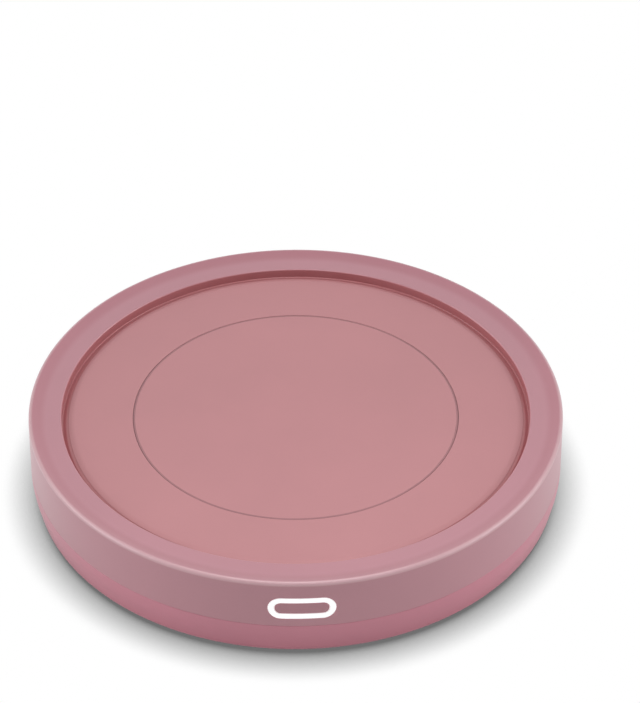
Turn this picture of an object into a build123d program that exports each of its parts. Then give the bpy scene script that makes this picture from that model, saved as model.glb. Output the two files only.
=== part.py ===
"""Electric mug warmer: a round desk warmer with a weight-operated warm plate.

Millimetres, +Z up, front towards -Y.  The origin is the middle of the plane that the
rubber feet stand on.  Every separate piece of the product is one STEP file in parts/.
"""
from build123d import *
import math
import os

os.makedirs("parts", exist_ok=True)

# ---------------------------------------------------------------- driving sizes
# Housing: two round mouldings that meet at a parting line with a lap joint.
BODY_R = 65.0           # outer wall
FOOT_STAND = 0.8        # daylight that the feet keep under the base
BASE_H = 9.0            # base moulding, underside to parting line
COVER_H = 13.2          # cover moulding, parting line to the crest of its lip
WALL = 2.0              # wall of both mouldings
BASE_TUCK = 1.2         # how far the base narrows towards its underside
BEND_H = 7.8            # height above the underside where the narrowing starts
TUCK_H = 4.2            # height where it grows steeper
TUCK_IN = 0.4           # how far in the wall is there
EDGE_BEVEL = 0.8        # bevel of the base's lower edge
SEAM_BEVEL = 0.3        # small bevel that shows as the parting line
LAP_H = 1.2             # height of the lap joint
LAP_GAP = 0.1           # clearance in the lap joint

# Top of the cover: lip, hollow slope, land, drip channel and the seat for the deck panel.
LIP_R = 0.8             # outer rounding of the lip, made of two bevels
SLOPE_W = 4.0           # hollow slope from the lip's crest down to the land
SLOPE_PARTS = (0.35, 0.7)   # where its facets meet, as parts of that width
DISH_DEPTH = 2.35       # deck below the crest of the lip
LAND_RISE = 1.55        # land above the deck
LAND_W = 8.0            # from the outer wall to the inner edge of the land
CHANNEL_W = 1.6         # drip channel round the deck
CHANNEL_DEPTH = 1.2     # its floor below the deck
SEAT_GAP = 0.1          # clearance round the deck panel
SEAT_FLOOR = 1.4        # thickness of the floor that carries the deck panel
STEP_W = 2.0            # how far that floor runs on under the land

# Deck panel, with the warm plate in its middle.
DECK_T = 1.8
DECK_W = 15.6           # deck between the drip channel and the plate's opening
DECK_BEVEL = 0.7        # bevel of the deck's outer edge
PLATE_T = 1.5
PLATE_BEVEL = 0.2       # small bevel round the plate's top
SEAL_W = 0.3            # silicone band round the plate
SEAL_DROP = 0.15        # its top below the plate's top
SEAL_H = 1.1
PLATE_GAP = 0.3         # running gap between the band and the deck
DECK_LEDGE = 0.4        # deck panel's overhang past its seat's opening
PLATE_TRAVEL = 1.0      # how far the plate sinks under a mug

# Under the plate.
HEATER_INSET = 5.2      # heater's edge inside the plate's
HEATER_T = 0.4
INSULATION_T = 1.9
CARRIER_T = 1.6
CARRIER_INSET = 3.2     # carrier's edge inside the plate's
CATCH_REACH = 2.3       # how far its catches run under the deck's seat
CATCH_W = 12.0
CATCH_ANGLES = (30, 150, 270)
GUIDE_IN = 6.0          # guide pins and striker inside the carrier's edge
GUIDE_ANGLES = (90, 210, 330)
GUIDE_R = 1.5
GUIDE_CLEAR = 0.05      # running fit of the pins in their posts
POST_R = 3.0
POST_H = 8.2            # above the base's floor
POST_FLOOR = 1.7        # solid foot of a post under its bore
PIN_END_GAP = 0.5       # left under a pin when the plate is down
SPRING_R = 7.0          # middle of the spring's wire
SPRING_WIRE_W = 0.9
SPRING_WIRE_T = 0.7
SPRING_TURNS = 2
SPIGOT_H = 2.5          # locating spigots inside the spring's ends
SPIGOT_CLEAR = 0.5
SENSOR_AT = 14.0        # sensor and fuse, either side of the middle
SENSOR_SIZE = (4.0, 3.0, 1.5)
FUSE_R = 0.9
FUSE_L = 9.0
POCKET_CLEAR = 0.1      # round sensor and fuse in the insulation

# Button, light ring and their small board, in the front wall.
BUTTON_UP = 5.4         # middle of the button above the parting line
RING_W = 15.9           # light ring, overall
RING_H = 6.2
RING_LINE = 1.45        # width of the lit line
RING_CLEAR = 0.05       # round the ring in the wall
RING_FLANGE = 0.9       # flange that holds the ring behind the wall
RING_FLANGE_H = 0.7
RING_FLANGE_T = 1.0
PAD_W = 19.0            # flat pad inside the wall, round the ring
PAD_T = 1.0
BUTTON_GAP = 0.15       # round the button inside the ring
BUTTON_FLANGE_W = 9.6   # flange that stops the button behind the ring
BUTTON_FLANGE_T = 0.8
BUTTON_FLANGE_UP = 1.2  # its overhang above and below
BUTTON_TRAVEL = 0.5
TACT_SIZE = 4.0         # switch body behind the button
TACT_T = 1.5
TACT_STAND = 1.3        # its plunger's reach in front of the body
TACT_PLUNGER_R = 0.9
TACT_FIT = 0.1          # round the plunger in its bore
TACT_BORE_SKIN = 0.2    # body left behind the bore
LED_AT = 7.2
LED_SIZE = (1.6, 1.4, 1.6)
BUTTON_BOARD_W = 26.0
BUTTON_BOARD_T = 1.2
HEADER_SIZE = (12.0, 2.0, 2.5)

# Main circuit board on its pads.
BOARD_T = 1.6
BOARD_IN = 5.5          # board's round edge inside the outer wall
BOARD_SIDE_GAP = 2.27   # from its straight sides to the screw bosses
BOARD_POST_GAP = 4.0    # from its straight rear edge to the front posts
REST_H = 1.2
REST_SIZE = 5.0         # square pads that the board rests on
REST_IN = 5.0           # middle of the rear pads inside the board's corners
REST_FRONT_IN = 4.5     # middle of the front pads inside the board's round edge
REST_FRONT_ANGLES = (251, 289)
CLIP_W = 6.0            # hooks that hold the board's straight sides
CLIP_T = 1.2
CLIP_GRIP = 0.8         # overhang of a hook above the board
CLIP_HEAD = 1.2
CLIP_Y = -34.0
BOARD_CLEAR = 0.1       # between board and hooks

# Weight switch and the other components, each standing on the board.
WEIGHT_SIZE = (6.0, 6.0, 3.5)
WEIGHT_PLUNGER_W = 3.0
WEIGHT_PLUNGER_UP = 1.5
WEIGHT_PLUNGER_IN = 1.2
WEIGHT_FIT = 0.1
WEIGHT_FLOOR = 0.9      # switch body left under the plunger's bore
STRIKER_R = 2.0         # striker under the carrier
CHIP_AT = (-15.0, -38.0)
CHIP_SIZE = (9.0, 6.0, 1.5)
TRANSISTOR_AT = (14.0, -38.0)
TRANSISTOR_SIZE = (6.5, 8.0, 2.3)
CHOKE_IN = 9.5          # from the board's round edge
CHOKE_ANGLE = 233
CHOKE_SIZE = (7.0, 7.0, 4.0)
CAPACITOR_IN = 7.9      # from the board's round edge
CAPACITOR_ANGLE = 302
CAPACITOR_R = 4.0
CAPACITOR_H = 7.0
CONNECTOR_SIZE = (6.0, 5.0, 4.5)
POWER_CONNECTOR_X = 13.0
HEATER_CONNECTOR_X = -13.0
CONNECTOR_INSET = 3.5   # connectors' middle in front of the board's rear edge

# Power socket in the rear wall, on the parting line.
SOCKET_W = 9.0
SOCKET_H = 8.4
SOCKET_L = 12.0
SOCKET_SETBACK = 0.4    # its face inside the wall's outer face
NOSE_R = 3.9
NOSE_L = 2.0
NOSE_CLEAR = 0.2
BARREL_R = 2.85         # bore for the plug
BARREL_DEPTH = 9.5
SOCKET_PIN_R = 1.05
SOCKET_PIN_BACK = 1.4   # pin's tip behind the face
TAB_SIZE = (1.6, 2.4, 0.5)
TAB_SPREAD = 2.2
CRADLE_WALL = 1.5
CRADLE_L = 8.0
CRADLE_H = 6.0
SOCKET_CLEAR = 0.1
HOLD_DOWN_W = 2.0

# Screws, feet, ribs and vents.
SCREW_IN = 11.0         # from the outer wall
SCREW_ANGLES = (30, 150, 210, 330)
SCREW_R = 1.2
SCREW_L = 8.0
SCREW_HEAD_R = 2.6
SCREW_HEAD_H = 1.0
SCREW_SEAT = 1.1        # depth of the counterbore in the underside
SCREW_CLEAR = 0.05
HEAD_CLEAR = 0.3
BOSS_R = 3.5            # screw bosses that reach from the cover to the base's floor
PILOT_EXTRA = 1.0       # pilot hole beyond the screw's tip
FOOT_IN = 15.0          # from the outer wall
FOOT_ANGLES = (45, 135, 225, 315)
FOOT_R = 5.5
FOOT_SINK = 0.8         # depth of a foot's recess
FOOT_CLEAR = 0.2
RIB_T = 1.2             # ribs between the wall and the step under the land
RIB_ANGLES = (0, 60, 120, 180, 240, 300)
RIB_H = 5.0
VENT_COUNT = 12
VENT_AT = 17.0
VENT_L = 8.0
VENT_W = 1.8
LEAD_W = 6.0            # flat two-core leads
LEAD_T = 1.0
LEAD_GAP = 0.5          # where a lead passes the board's edge
LEAD_POST_GAP = 4.0     # where the power lead turns aside in front of the rear post
SLIVER = 0.2            # how deep a rib or boss runs into what carries it

# ---------------------------------------------------------------- levels and places
BASE_Z = FOOT_STAND
FLOOR_Z = BASE_Z + WALL
SEAM_Z = BASE_Z + BASE_H
LIP_Z = SEAM_Z + COVER_H
LIP_EASE = LIP_R * (1 - math.sqrt(0.5))
DECK_Z = LIP_Z - DISH_DEPTH
LAND_Z = DECK_Z + LAND_RISE
CHANNEL_Z = DECK_Z - CHANNEL_DEPTH
SEAT_Z = DECK_Z - DECK_T
SEAT_UNDER_Z = SEAT_Z - SEAT_FLOOR
ROOF_Z = LAND_Z - WALL
INNER_R = BODY_R - WALL
LAND_R = BODY_R - LAND_W
DECK_R = LAND_R - CHANNEL_W
SEAT_R = DECK_R + SEAT_GAP
DECK_HOLE_R = DECK_R - DECK_W
SEAL_R = DECK_HOLE_R - PLATE_GAP
PLATE_R = SEAL_R - SEAL_W
SEAT_HOLE_R = DECK_HOLE_R + DECK_LEDGE
STEP_R = LAND_R + STEP_W
LAP_R = BODY_R - WALL / 2
SCREW_AT = BODY_R - SCREW_IN
FOOT_AT = BODY_R - FOOT_IN

HEATER_R = PLATE_R - HEATER_INSET
CARRIER_R = PLATE_R - CARRIER_INSET
CATCH_R = SEAT_HOLE_R + CATCH_REACH
GUIDE_AT = CARRIER_R - GUIDE_IN
LEAD_CROSS_Y = GUIDE_AT + POST_R + LEAD_POST_GAP + LEAD_W / 2
PLATE_Z = DECK_Z - PLATE_T
HEATER_Z = PLATE_Z - HEATER_T
CARRIER_TOP_Z = HEATER_Z - INSULATION_T
CARRIER_Z = CARRIER_TOP_Z - CARRIER_T
POST_Z = FLOOR_Z + POST_H
POST_BORE_Z = FLOOR_Z + POST_FLOOR
PIN_END_Z = POST_BORE_Z + PLATE_TRAVEL + PIN_END_GAP
SPIGOT_R = SPRING_R - SPRING_WIRE_W / 2 - SPIGOT_CLEAR

BUTTON_Z = SEAM_Z + BUTTON_UP
PAD_Y = -(INNER_R - PAD_T)
RING_BACK_Y = PAD_Y + RING_FLANGE_T
BUTTON_BACK_Y = RING_BACK_Y + BUTTON_FLANGE_T
BUTTON_W = RING_W - 2 * (RING_LINE + BUTTON_GAP)
BUTTON_H = RING_H - 2 * (RING_LINE + BUTTON_GAP)
TACT_FRONT_Y = BUTTON_BACK_Y + TACT_STAND
BUTTON_BOARD_Y = TACT_FRONT_Y + TACT_T
BUTTON_BOARD_BACK_Y = BUTTON_BOARD_Y + BUTTON_BOARD_T
BUTTON_BOARD_TOP_Z = BUTTON_Z + TACT_SIZE / 2

BOARD_R = BODY_R - BOARD_IN
BOARD_HALF_W = SCREW_AT * math.cos(math.radians(SCREW_ANGLES[0])) - BOSS_R - BOARD_SIDE_GAP
BOARD_EDGE_Y = GUIDE_AT * math.sin(math.radians(GUIDE_ANGLES[1])) - POST_R - BOARD_POST_GAP
BOARD_Z = FLOOR_Z + REST_H
BOARD_TOP_Z = BOARD_Z + BOARD_T
WEIGHT_AT = (0, -GUIDE_AT)
WEIGHT_TOP_Z = BOARD_TOP_Z + WEIGHT_SIZE[2]
WEIGHT_TIP_Z = WEIGHT_TOP_Z + WEIGHT_PLUNGER_UP
CONNECTOR_Y = BOARD_EDGE_Y - CONNECTOR_INSET
CONNECTOR_BACK_Y = CONNECTOR_Y + CONNECTOR_SIZE[1] / 2
CONNECTOR_MID_Z = BOARD_TOP_Z + CONNECTOR_SIZE[2] / 2

SOCKET_FACE_Y = BODY_R - SOCKET_SETBACK
SOCKET_FRONT_Y = SOCKET_FACE_Y - NOSE_L
SOCKET_BACK_Y = SOCKET_FRONT_Y - SOCKET_L
SOCKET_UNDER_Z = SEAM_Z - SOCKET_H / 2
SOCKET_TOP_Z = SEAM_Z + SOCKET_H / 2
BARREL_END_Y = SOCKET_FACE_Y - BARREL_DEPTH
SCREW_SEAT_Z = BASE_Z + SCREW_SEAT
BIG = 2 * BODY_R        # longer than anything that it cuts


# ---------------------------------------------------------------- shape helpers
def turned(points):
    """Solid turned about Z from a closed outline of (radius, height) corners."""
    outline = Polyline(*points, close=True)
    return revolve(Plane.XZ * make_face(outline), Axis.Z)


def disc(radius, z0, z1, x=0.0, y=0.0):
    """Upright cylinder between two heights."""
    return Pos(x, y, (z0 + z1) / 2) * Cylinder(radius, z1 - z0)


def block(x0, x1, y0, y1, z0, z1):
    """Box between two corners."""
    middle = Pos((x0 + x1) / 2, (y0 + y1) / 2, (z0 + z1) / 2)
    return middle * Box(x1 - x0, y1 - y0, z1 - z0)


def rod_y(radius, y0, y1, z, x=0.0):
    """Cylinder along Y between two depths."""
    return Pos(x, (y0 + y1) / 2, z) * Cylinder(radius, y1 - y0, rotation=(90, 0, 0))


def slot_y(width, height, y0, y1, z):
    """Prism with rounded ends, seen from the front, between two depths."""
    face = Plane((0, y1, z), x_dir=(1, 0, 0), z_dir=(0, -1, 0)) * SlotOverall(width, height)
    return extrude(face, y1 - y0)


def around(radius, angles):
    """Points on a circle about Z, at angles in degrees from +X."""
    return [(radius * math.cos(math.radians(a)), radius * math.sin(math.radians(a))) for a in angles]


def standing(size, at, z):
    """Box of a given size standing at a point."""
    w, d, h = size
    return block(at[0] - w / 2, at[0] + w / 2, at[1] - d / 2, at[1] + d / 2, z, z + h)


# ---------------------------------------------------------------- housing
def base_cover():
    """Lower moulding: dished shell with posts, board rests and hooks, socket cradle and vents."""
    under_r = BODY_R - BASE_TUCK
    bend_z = BASE_Z + BEND_H
    lap_out = LAP_R - LAP_GAP / 2
    shell = turned(
        [(0, BASE_Z), (under_r - EDGE_BEVEL, BASE_Z), (under_r, BASE_Z + EDGE_BEVEL),
         (BODY_R - TUCK_IN, BASE_Z + TUCK_H), (BODY_R, bend_z), (BODY_R, SEAM_Z - SEAM_BEVEL),
         (BODY_R - SEAM_BEVEL, SEAM_Z), (lap_out, SEAM_Z), (lap_out, SEAM_Z + LAP_H),
         (INNER_R, SEAM_Z + LAP_H), (INNER_R, bend_z), (under_r - WALL, FLOOR_Z), (0, FLOOR_Z)])
    for x, y in around(GUIDE_AT, GUIDE_ANGLES):
        shell += disc(POST_R, FLOOR_Z - SLIVER, POST_Z, x, y)
    shell += disc(SPIGOT_R, FLOOR_Z - SLIVER, FLOOR_Z + SPIGOT_H)
    for place in rest_places():
        shell += standing((REST_SIZE, REST_SIZE, REST_H + SLIVER), place, FLOOR_Z - SLIVER)
    shell += board_hook() + mirror(board_hook(), about=Plane.YZ)
    shell += socket_cradle()

    for x, y in around(GUIDE_AT, GUIDE_ANGLES):
        shell -= disc(GUIDE_R + GUIDE_CLEAR, POST_BORE_Z, POST_Z, x, y)
    for x, y in around(SCREW_AT, SCREW_ANGLES):
        shell -= disc(SCREW_HEAD_R + HEAD_CLEAR, BASE_Z, SCREW_SEAT_Z, x, y)
        shell -= disc(SCREW_R + SCREW_CLEAR, SCREW_SEAT_Z, FLOOR_Z, x, y)
    for x, y in around(FOOT_AT, FOOT_ANGLES):
        shell -= disc(FOOT_R + FOOT_CLEAR, BASE_Z, BASE_Z + FOOT_SINK, x, y)
    vent = Pos(VENT_AT, 0, BASE_Z + WALL / 2) * Box(VENT_L, VENT_W, WALL)
    for i in range(VENT_COUNT):
        shell -= Rot(0, 0, (i + 0.5) * 360 / VENT_COUNT) * vent
    shell -= socket_space()
    shell -= rod_y(NOSE_R + NOSE_CLEAR, SOCKET_FRONT_Y, BODY_R + WALL, SEAM_Z)
    return shell


def rest_places():
    """Middles of the pads under the main board: two near its corners, two near its front."""
    side_x = BOARD_HALF_W - REST_IN
    side_y = BOARD_EDGE_Y - REST_IN
    return [(-side_x, side_y), (side_x, side_y)] + around(BOARD_R - REST_FRONT_IN, REST_FRONT_ANGLES)


def board_hook():
    """Springy hook on the base's floor that snaps over the board's straight side."""
    x0 = BOARD_HALF_W + BOARD_CLEAR
    z0 = BOARD_TOP_Z + BOARD_CLEAR
    profile = Polyline(
        (x0, FLOOR_Z - SLIVER), (x0 + CLIP_T, FLOOR_Z - SLIVER), (x0 + CLIP_T, z0 + CLIP_HEAD),
        (x0, z0 + CLIP_HEAD), (x0 - CLIP_GRIP, z0), (x0, z0), close=True)
    face = Plane((0, CLIP_Y + CLIP_W / 2, 0), x_dir=(1, 0, 0), z_dir=(0, -1, 0)) * make_face(profile)
    return extrude(face, CLIP_W)


def socket_cradle():
    """Walls that rise from the base's floor on both sides of the power socket."""
    half = SOCKET_W / 2 + SOCKET_CLEAR + CRADLE_WALL
    y0 = SOCKET_BACK_Y + (SOCKET_L - CRADLE_L) / 2
    return block(-half, half, y0, y0 + CRADLE_L, FLOOR_Z - SLIVER, FLOOR_Z + CRADLE_H)


def socket_space():
    """Room for the socket's body in the cradle and the wall."""
    half = SOCKET_W / 2 + SOCKET_CLEAR
    return block(-half, half, SOCKET_BACK_Y - SOCKET_CLEAR, SOCKET_FRONT_Y + SOCKET_CLEAR,
                 SOCKET_UNDER_Z, SOCKET_TOP_Z)


def top_cover():
    """Upper moulding: dished top with lip, land, drip channel and deck seat."""
    lap_in = LAP_R + LAP_GAP / 2
    shell = turned(
        [(lap_in, SEAM_Z), (BODY_R, SEAM_Z), (BODY_R, LIP_Z - LIP_R),
         (BODY_R - LIP_EASE, LIP_Z - LIP_EASE), (BODY_R - LIP_R, LIP_Z), *hollow_slope(),
         (LAND_R, LAND_Z), (LAND_R, CHANNEL_Z),
         (SEAT_R, CHANNEL_Z), (SEAT_R, SEAT_Z), (SEAT_HOLE_R, SEAT_Z), (SEAT_HOLE_R, SEAT_UNDER_Z),
         (STEP_R, SEAT_UNDER_Z), (STEP_R, ROOF_Z), (INNER_R, ROOF_Z),
         (INNER_R, SEAM_Z + LAP_H + LAP_GAP), (lap_in, SEAM_Z + LAP_H + LAP_GAP)])
    for x, y in around(SCREW_AT, SCREW_ANGLES):
        shell += disc(BOSS_R, FLOOR_Z, SEAT_UNDER_Z + SLIVER, x, y)
    rib = block(STEP_R - SLIVER, INNER_R + SLIVER, -RIB_T / 2, RIB_T / 2, ROOF_Z - RIB_H, ROOF_Z + SLIVER)
    for angle in RIB_ANGLES:
        shell += Rot(0, 0, angle) * rib
    shell += button_pad()
    shell += block(-HOLD_DOWN_W / 2, HOLD_DOWN_W / 2, SOCKET_BACK_Y + CRADLE_WALL, STEP_R,
                   SOCKET_TOP_Z + SOCKET_CLEAR, SEAT_UNDER_Z + SLIVER)

    pilot_top = SCREW_SEAT_Z + SCREW_L + PILOT_EXTRA
    for x, y in around(SCREW_AT, SCREW_ANGLES):
        shell -= disc(SCREW_R + SCREW_CLEAR, FLOOR_Z, pilot_top, x, y)
    shell -= slot_y(RING_W + 2 * RING_CLEAR, RING_H + 2 * RING_CLEAR, -BODY_R - WALL, PAD_Y, BUTTON_Z)
    shell -= rod_y(NOSE_R + NOSE_CLEAR, SOCKET_FRONT_Y, BODY_R + WALL, SEAM_Z)
    return shell


def hollow_slope():
    """Corners of the slope that steepens from the land up to the crest of the lip."""
    crest = BODY_R - LIP_R
    return [(crest - SLOPE_W * part, LAND_Z + (LIP_Z - LAND_Z) * (1 - part) ** 2) for part in SLOPE_PARTS]


def button_pad():
    """Flat pad inside the front wall that the light ring's flange lies against."""
    z0 = SEAM_Z + LAP_H + LAP_GAP
    pad = block(-PAD_W / 2, PAD_W / 2, -BODY_R, PAD_Y, z0, ROOF_Z + SLIVER)
    return pad & disc(BODY_R - WALL / 2, z0, ROOF_Z + SLIVER)


def deck_panel():
    """Ring-shaped deck that drops into its seat round the warm plate."""
    return turned(
        [(DECK_HOLE_R, SEAT_Z), (DECK_R, SEAT_Z), (DECK_R, DECK_Z - DECK_BEVEL),
         (DECK_R - DECK_BEVEL, DECK_Z), (DECK_HOLE_R, DECK_Z)])


def rubber_feet():
    """Four round feet pressed into recesses under the base."""
    return Compound([disc(FOOT_R, 0, BASE_Z + FOOT_SINK, x, y) for x, y in around(FOOT_AT, FOOT_ANGLES)])


def housing_screws():
    """Screws from below that hold the two mouldings together."""
    one = disc(SCREW_R, 0, SCREW_L) + disc(SCREW_HEAD_R, -SCREW_HEAD_H, 0)
    return Compound([Pos(x, y, SCREW_SEAT_Z) * one for x, y in around(SCREW_AT, SCREW_ANGLES)])


# ---------------------------------------------------------------- warm plate and what moves with it
def warm_plate():
    """Coated aluminium plate that the mug stands on."""
    return turned([(0, PLATE_Z), (PLATE_R, PLATE_Z), (PLATE_R, DECK_Z - PLATE_BEVEL),
                   (PLATE_R - PLATE_BEVEL, DECK_Z), (0, DECK_Z)])


def plate_seal():
    """Thin silicone band stretched round the plate's edge."""
    top = DECK_Z - SEAL_DROP
    band = disc(SEAL_R, top - SEAL_H, top)
    return band - disc(PLATE_R, top - SEAL_H, top)


def heater_film():
    """Etched-foil heater laminated in film, stuck under the plate."""
    return disc(HEATER_R, HEATER_Z, PLATE_Z)


def insulation_disc():
    """Heat-resistant felt disc with pockets for the sensor and the fuse."""
    felt = disc(CARRIER_R, CARRIER_TOP_Z, HEATER_Z)
    w, d, _ = SENSOR_SIZE
    grow = 2 * POCKET_CLEAR
    felt -= Pos(SENSOR_AT, 0, CARRIER_TOP_Z) * Box(w + grow, d + grow, BIG)
    felt -= Pos(-SENSOR_AT, 0, CARRIER_TOP_Z) * Box(2 * FUSE_R + grow, FUSE_L + grow, BIG)
    return felt


def temperature_sensor():
    """Small sensor block held against the heater."""
    return standing(SENSOR_SIZE, (SENSOR_AT, 0), HEATER_Z - SENSOR_SIZE[2])


def thermal_fuse():
    """Tubular thermal cut-off against the heater."""
    return rod_y(FUSE_R, -FUSE_L / 2, FUSE_L / 2, HEATER_Z - FUSE_R, -SENSOR_AT)


def plate_carrier():
    """Moulded carrier: disc with catches, guide pins, spring spigot and striker."""
    carrier = disc(CARRIER_R, CARRIER_Z, CARRIER_TOP_Z)
    catch = block(CARRIER_R - CARRIER_T, CATCH_R, -CATCH_W / 2, CATCH_W / 2, CARRIER_Z, CARRIER_TOP_Z)
    catch += block(SEAT_HOLE_R + DECK_LEDGE, CATCH_R, -CATCH_W / 2, CATCH_W / 2, CARRIER_Z, SEAT_UNDER_Z)
    for angle in CATCH_ANGLES:
        carrier += Rot(0, 0, angle) * catch
    for x, y in around(GUIDE_AT, GUIDE_ANGLES):
        carrier += disc(GUIDE_R, PIN_END_Z, CARRIER_Z + SLIVER, x, y)
    carrier += disc(SPIGOT_R, CARRIER_Z - SPIGOT_H, CARRIER_Z + SLIVER)
    carrier += disc(STRIKER_R, WEIGHT_TIP_Z, CARRIER_Z + SLIVER, *WEIGHT_AT)
    return carrier


def return_spring():
    """Compression spring of flat wire that lifts the plate."""
    z0 = FLOOR_Z + SPRING_WIRE_T / 2
    rise = CARRIER_Z - FLOOR_Z - SPRING_WIRE_T
    path = Pos(0, 0, z0) * Helix(pitch=rise / SPRING_TURNS, height=rise, radius=SPRING_R)
    section = Plane(origin=path @ 0, x_dir=(1, 0, 0), z_dir=path % 0) * Rectangle(
        SPRING_WIRE_W, SPRING_WIRE_T)
    coil = sweep(section, path=path, is_frenet=True)
    return coil & disc(2 * SPRING_R, FLOOR_Z, CARRIER_Z)


# ---------------------------------------------------------------- button and light ring
def light_ring():
    """Translucent ring round the button, flush with the wall, with a flange behind it."""
    ring = slot_y(RING_W, RING_H, -BODY_R - WALL, PAD_Y, BUTTON_Z)
    ring &= disc(BODY_R, SEAM_Z, LIP_Z)
    ring += slot_y(RING_W + 2 * RING_FLANGE, RING_H + 2 * RING_FLANGE_H, PAD_Y, RING_BACK_Y, BUTTON_Z)
    return ring - slot_y(RING_W - 2 * RING_LINE, RING_H - 2 * RING_LINE, -BODY_R - WALL, RING_BACK_Y,
                         BUTTON_Z)


def power_button():
    """Long push button inside the light ring, with a flange that keeps it in."""
    button = slot_y(BUTTON_W, BUTTON_H, -BODY_R - WALL, RING_BACK_Y, BUTTON_Z)
    button &= disc(BODY_R, SEAM_Z, LIP_Z)
    half_h = BUTTON_H / 2 + BUTTON_FLANGE_UP
    return button + block(-BUTTON_FLANGE_W / 2, BUTTON_FLANGE_W / 2, RING_BACK_Y, BUTTON_BACK_Y,
                          BUTTON_Z - half_h, BUTTON_Z + half_h)


def button_switch():
    """Tact switch behind the button, with the bore that its plunger slides in."""
    half = TACT_SIZE / 2
    body = block(-half, half, TACT_FRONT_Y, BUTTON_BOARD_Y, BUTTON_Z - half, BUTTON_Z + half)
    return body - rod_y(TACT_PLUNGER_R + TACT_FIT, TACT_FRONT_Y, BUTTON_BOARD_Y - TACT_BORE_SKIN, BUTTON_Z)


def button_plunger():
    """Plunger of the tact switch, against the back of the button."""
    inside = TACT_T - TACT_BORE_SKIN - BUTTON_TRAVEL - TACT_FIT
    return rod_y(TACT_PLUNGER_R, BUTTON_BACK_Y, TACT_FRONT_Y + inside, BUTTON_Z)


def button_leds():
    """Two lamps that light the ring from behind."""
    w, d, h = LED_SIZE
    one = block(-w / 2, w / 2, BUTTON_BOARD_Y - d, BUTTON_BOARD_Y, BUTTON_Z - h / 2, BUTTON_Z + h / 2)
    return Compound([Pos(x, 0, 0) * one for x in (-LED_AT, LED_AT)])


def button_board():
    """Small board that stands behind the front wall."""
    half = BUTTON_BOARD_W / 2
    return block(-half, half, BUTTON_BOARD_Y, BUTTON_BOARD_BACK_Y, BOARD_TOP_Z, BUTTON_BOARD_TOP_Z)


def board_header():
    """Pin header that joins the small board to the main board."""
    w, d, h = HEADER_SIZE
    return block(-w / 2, w / 2, BUTTON_BOARD_BACK_Y, BUTTON_BOARD_BACK_Y + d, BOARD_TOP_Z, BOARD_TOP_Z + h)


# ---------------------------------------------------------------- main board
def circuit_board():
    """Main board: front segment of a circle with straight sides."""
    board = disc(BOARD_R, BOARD_Z, BOARD_TOP_Z)
    return board & block(-BOARD_HALF_W, BOARD_HALF_W, -BOARD_R, BOARD_EDGE_Y, BOARD_Z, BOARD_TOP_Z)


def weight_switch():
    """Switch that the sinking plate closes, with the well of its plunger."""
    body = standing(WEIGHT_SIZE, WEIGHT_AT, BOARD_TOP_Z)
    well_w = WEIGHT_PLUNGER_W + 2 * WEIGHT_FIT
    well_h = WEIGHT_SIZE[2] - WEIGHT_FLOOR
    return body - standing((well_w, well_w, well_h), WEIGHT_AT, WEIGHT_TOP_Z - well_h)


def weight_plunger():
    """Plunger of the weight switch, under the carrier's striker."""
    size = (WEIGHT_PLUNGER_W, WEIGHT_PLUNGER_W, WEIGHT_PLUNGER_IN + WEIGHT_PLUNGER_UP)
    return standing(size, WEIGHT_AT, WEIGHT_TOP_Z - WEIGHT_PLUNGER_IN)


def control_chip():
    """Controller that times the heater and reads the sensor."""
    return standing(CHIP_SIZE, CHIP_AT, BOARD_TOP_Z)


def power_transistor():
    """Transistor that switches the heater's current."""
    return standing(TRANSISTOR_SIZE, TRANSISTOR_AT, BOARD_TOP_Z)


def choke():
    """Coil that smooths the supply."""
    at, = around(BOARD_R - CHOKE_IN, [CHOKE_ANGLE])
    return standing(CHOKE_SIZE, at, BOARD_TOP_Z)


def capacitor():
    """Upright electrolytic capacitor."""
    at, = around(BOARD_R - CAPACITOR_IN, [CAPACITOR_ANGLE])
    return disc(CAPACITOR_R, BOARD_TOP_Z, BOARD_TOP_Z + CAPACITOR_H, *at)


def power_connector():
    """Connector for the lead from the power socket."""
    return standing(CONNECTOR_SIZE, (POWER_CONNECTOR_X, CONNECTOR_Y), BOARD_TOP_Z)


def heater_connector():
    """Connector for the lead up to the heater."""
    return standing(CONNECTOR_SIZE, (HEATER_CONNECTOR_X, CONNECTOR_Y), BOARD_TOP_Z)


def power_leads():
    """Flat two-core lead, folded along the floor from the socket's tabs to the board."""
    half = LEAD_W / 2
    tab_y = SOCKET_BACK_Y - TAB_SIZE[1]
    run_x = POWER_CONNECTOR_X
    floor_top = FLOOR_Z + LEAD_T
    rise_y = BOARD_EDGE_Y + LEAD_GAP
    lead = block(-half, half, tab_y - LEAD_T, tab_y, FLOOR_Z, SEAM_Z + LEAD_T / 2)
    lead += block(-half, half, LEAD_CROSS_Y - half, tab_y, FLOOR_Z, floor_top)
    lead += block(-half, run_x + half, LEAD_CROSS_Y - half, LEAD_CROSS_Y + half, FLOOR_Z, floor_top)
    lead += block(run_x - half, run_x + half, rise_y, LEAD_CROSS_Y + half, FLOOR_Z, floor_top)
    lead += block(run_x - half, run_x + half, rise_y, rise_y + LEAD_T, FLOOR_Z, CONNECTOR_MID_Z)
    lead += block(run_x - half, run_x + half, CONNECTOR_BACK_Y, rise_y + LEAD_T,
                  CONNECTOR_MID_Z - LEAD_T, CONNECTOR_MID_Z)
    return lead


def heater_leads():
    """Flat lead from the board up to the carrier, which gives with the plate's travel."""
    height = CARRIER_Z - BOARD_TOP_Z - CONNECTOR_SIZE[2]
    return standing((LEAD_W, LEAD_T, height), (HEATER_CONNECTOR_X, CONNECTOR_Y), CARRIER_Z - height)


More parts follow.
